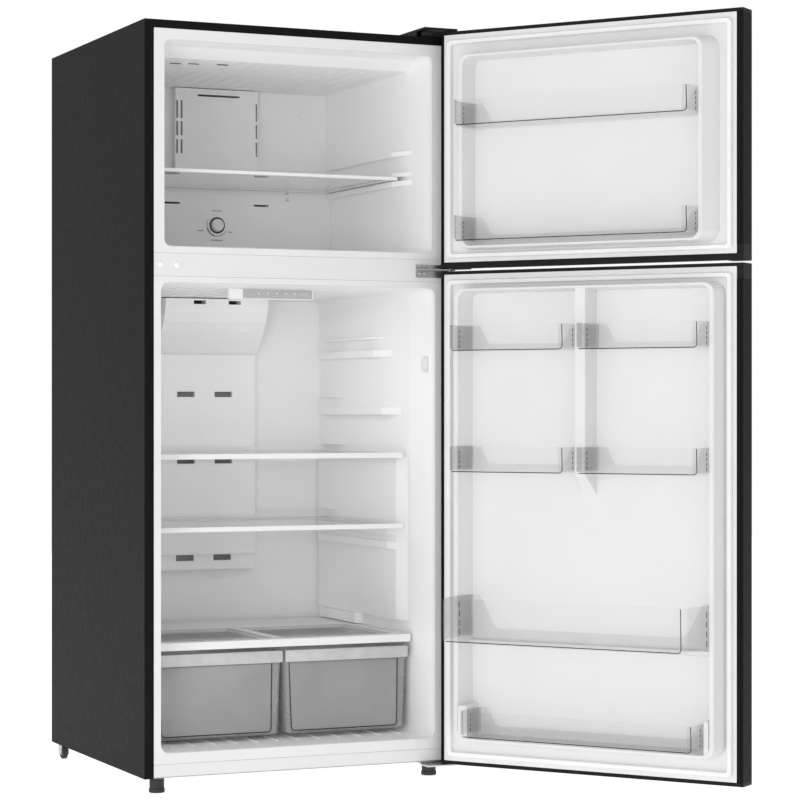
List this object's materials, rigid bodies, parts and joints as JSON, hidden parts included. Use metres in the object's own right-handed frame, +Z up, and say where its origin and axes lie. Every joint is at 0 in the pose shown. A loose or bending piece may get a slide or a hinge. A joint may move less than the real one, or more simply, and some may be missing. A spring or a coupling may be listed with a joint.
{
  "type": "top freezer refrigerator",
  "caption": "Black top freezer refrigerator with a white interior, both doors open, glass shelves, crisper drawers and clear door bins.",
  "frame": {"origin": "on the floor, at the middle of the footprint of the open refrigerator", "axes": "+Z up, -Y out through the open front of the cabinet, +X to the right as seen from the front, towards the door hinges"},
  "size_m": [1.1634, 1.3298, 1.6906],
  "materials": {
    "painted_body": "satin",
    "hinge_dark": "satin",
    "hinge_plated": "satin",
    "foam": "matte",
    "white_plastic": "satin",
    "gasket": "matte",
    "grey_plastic": "satin",
    "black_plastic": "satin",
    "clear_plastic": "clear",
    "smoke_plastic": "translucent",
    "shelf_glass": "clear",
    "coil_aluminium": "satin",
    "black_steel": "gloss"
  },
  "bodies": {
    "cabinet": {"outer_case": "painted_body", "top_hinge": "hinge_dark", "middle_hinge": "hinge_dark", "bottom_hinge": "hinge_plated", "base_pan": "hinge_plated", "rear_panel": "hinge_plated", "cabinet_foam": "foam", "freezer_liner": "white_plastic", "fridge_liner": "white_plastic", "mullion_cover": "white_plastic", "toe_trim": "white_plastic", "evaporator_cover": "white_plastic", "fridge_air_duct": "white_plastic", "control_housing": "white_plastic", "crisper_cover": "white_plastic", "control_panel": "grey_plastic", "top_hinge_cover": "black_plastic", "machine_cover": "black_plastic", "fan_motor": "black_plastic", "lamp_lens": "clear_plastic", "crisper_glass_left": "shelf_glass", "crisper_glass_right": "shelf_glass", "evaporator_coil": "coil_aluminium", "compressor": "black_steel", "condenser_coil": "black_steel"},
    "freezer_door": {"freezer_door_skin": "painted_body", "freezer_door_foam": "foam", "freezer_door_liner": "white_plastic", "freezer_door_gasket": "gasket", "freezer_door_top_cap": "black_plastic", "freezer_door_bottom_cap": "black_plastic"},
    "fridge_door": {"fridge_door_skin": "painted_body", "fridge_door_foam": "foam", "fridge_door_liner": "white_plastic", "fridge_door_gasket": "gasket", "fridge_door_top_cap": "black_plastic", "fridge_door_bottom_cap": "black_plastic"},
    "freezer_shelf": {"freezer_shelf_frame": "white_plastic", "freezer_shelf_glass": "shelf_glass"},
    "upper_shelf": {"upper_shelf_frame": "white_plastic", "upper_shelf_glass": "shelf_glass"},
    "lower_shelf": {"lower_shelf_frame": "white_plastic", "lower_shelf_glass": "shelf_glass"},
    "temperature_knob": {"temperature_knob": "white_plastic"},
    "evaporator_fan": {"evaporator_fan": "white_plastic"},
    "door_switch": {"door_switch": "grey_plastic"},
    "front_foot_left": {"front_foot_left": "black_plastic"},
    "front_foot_right": {"front_foot_right": "black_plastic"},
    "rear_roller_left": {"rear_roller_left": "black_plastic"},
    "rear_roller_right": {"rear_roller_right": "black_plastic"},
    "left_crisper": {"left_crisper": "smoke_plastic"},
    "right_crisper": {"right_crisper": "smoke_plastic"},
    "freezer_upper_bin": {"freezer_upper_bin": "clear_plastic"},
    "freezer_lower_bin": {"freezer_lower_bin": "clear_plastic"},
    "fridge_upper_bin_left": {"fridge_upper_bin_left": "clear_plastic"},
    "fridge_upper_bin_right": {"fridge_upper_bin_right": "clear_plastic"},
    "fridge_middle_bin_left": {"fridge_middle_bin_left": "clear_plastic"},
    "fridge_middle_bin_right": {"fridge_middle_bin_right": "clear_plastic"},
    "fridge_gallon_bin": {"fridge_gallon_bin": "clear_plastic"},
    "fridge_bottom_bin": {"fridge_bottom_bin": "clear_plastic"}
  },
  "joints": [
    {"name": "freezer_door_hinge", "type": "hinge", "parent": "cabinet", "child": "freezer_door", "pos_m": [0.13484, -0.05326, 1.415], "axis": [0, 0, 1], "range_deg": [-125.69, 2.3]},
    {"name": "fridge_door_hinge", "type": "hinge", "parent": "cabinet", "child": "fridge_door", "pos_m": [0.13484, -0.05326, 0.585], "axis": [0, 0, 1], "range_deg": [-125.69, 2.3]},
    {"name": "left_crisper_slide", "type": "slide", "parent": "cabinet", "child": "left_crisper", "axis": [0, -1, 0], "range_m": [0, 0.28]},
    {"name": "right_crisper_slide", "type": "slide", "parent": "cabinet", "child": "right_crisper", "axis": [0, -1, 0], "range_m": [0, 0.28]},
    {"name": "freezer_shelf_slide", "type": "slide", "parent": "cabinet", "child": "freezer_shelf", "axis": [0, -1, 0], "range_m": [0, 0.3]},
    {"name": "upper_shelf_slide", "type": "slide", "parent": "cabinet", "child": "upper_shelf", "axis": [0, -1, 0], "range_m": [0, 0.24]},
    {"name": "lower_shelf_slide", "type": "slide", "parent": "cabinet", "child": "lower_shelf", "axis": [0, -1, 0], "range_m": [0, 0.3]},
    {"name": "freezer_upper_bin_lift", "type": "slide", "parent": "freezer_door", "child": "freezer_upper_bin", "axis": [0, 0, 1], "range_m": [0, 0.03]},
    {"name": "freezer_lower_bin_lift", "type": "slide", "parent": "freezer_door", "child": "freezer_lower_bin", "axis": [0, 0, 1], "range_m": [0, 0.03]},
    {"name": "fridge_upper_bin_left_lift", "type": "slide", "parent": "fridge_door", "child": "fridge_upper_bin_left", "axis": [0, 0, 1], "range_m": [0, 0.03]},
    {"name": "fridge_upper_bin_right_lift", "type": "slide", "parent": "fridge_door", "child": "fridge_upper_bin_right", "axis": [0, 0, 1], "range_m": [0, 0.03]},
    {"name": "fridge_middle_bin_left_lift", "type": "slide", "parent": "fridge_door", "child": "fridge_middle_bin_left", "axis": [0, 0, 1], "range_m": [0, 0.03]},
    {"name": "fridge_middle_bin_right_lift", "type": "slide", "parent": "fridge_door", "child": "fridge_middle_bin_right", "axis": [0, 0, 1], "range_m": [0, 0.03]},
    {"name": "fridge_gallon_bin_lift", "type": "slide", "parent": "fridge_door", "child": "fridge_gallon_bin", "axis": [0, 0, 1], "range_m": [0, 0.03]},
    {"name": "fridge_bottom_bin_lift", "type": "slide", "parent": "fridge_door", "child": "fridge_bottom_bin", "axis": [0, 0, 1], "range_m": [0, 0.03]},
    {"name": "temperature_dial", "type": "hinge", "parent": "cabinet", "child": "temperature_knob", "pos_m": [-0.21766, 0.50644, 1.275], "axis": [0, 1, 0], "range_deg": [-135, 135]},
    {"name": "evaporator_fan_spin", "type": "hinge", "parent": "cabinet", "child": "evaporator_fan", "pos_m": [-0.21766, 0.57194, 1.52], "axis": [0, 1, 0], "continuous": true},
    {"name": "door_switch_press", "type": "slide", "parent": "cabinet", "child": "door_switch", "axis": [1, 0, 0], "range_m": [0, 0.005], "stiffness_N_per_m": 300, "springref_m": -0.004},
    {"name": "front_foot_left_turn", "type": "hinge", "parent": "cabinet", "child": "front_foot_left", "pos_m": [-0.54016, 0.01194, 0.035], "axis": [0, 0, 1], "continuous": true},
    {"name": "front_foot_right_turn", "type": "hinge", "parent": "cabinet", "child": "front_foot_right", "pos_m": [0.11234, 0.01194, 0.035], "axis": [0, 0, 1], "continuous": true},
    {"name": "rear_roller_left_roll", "type": "hinge", "parent": "cabinet", "child": "rear_roller_left", "pos_m": [-0.56766, 0.61194, 0.017], "axis": [1, 0, 0], "continuous": true},
    {"name": "rear_roller_right_roll", "type": "hinge", "parent": "cabinet", "child": "rear_roller_right", "pos_m": [0.13234, 0.61194, 0.017], "axis": [1, 0, 0], "continuous": true}
  ]
}
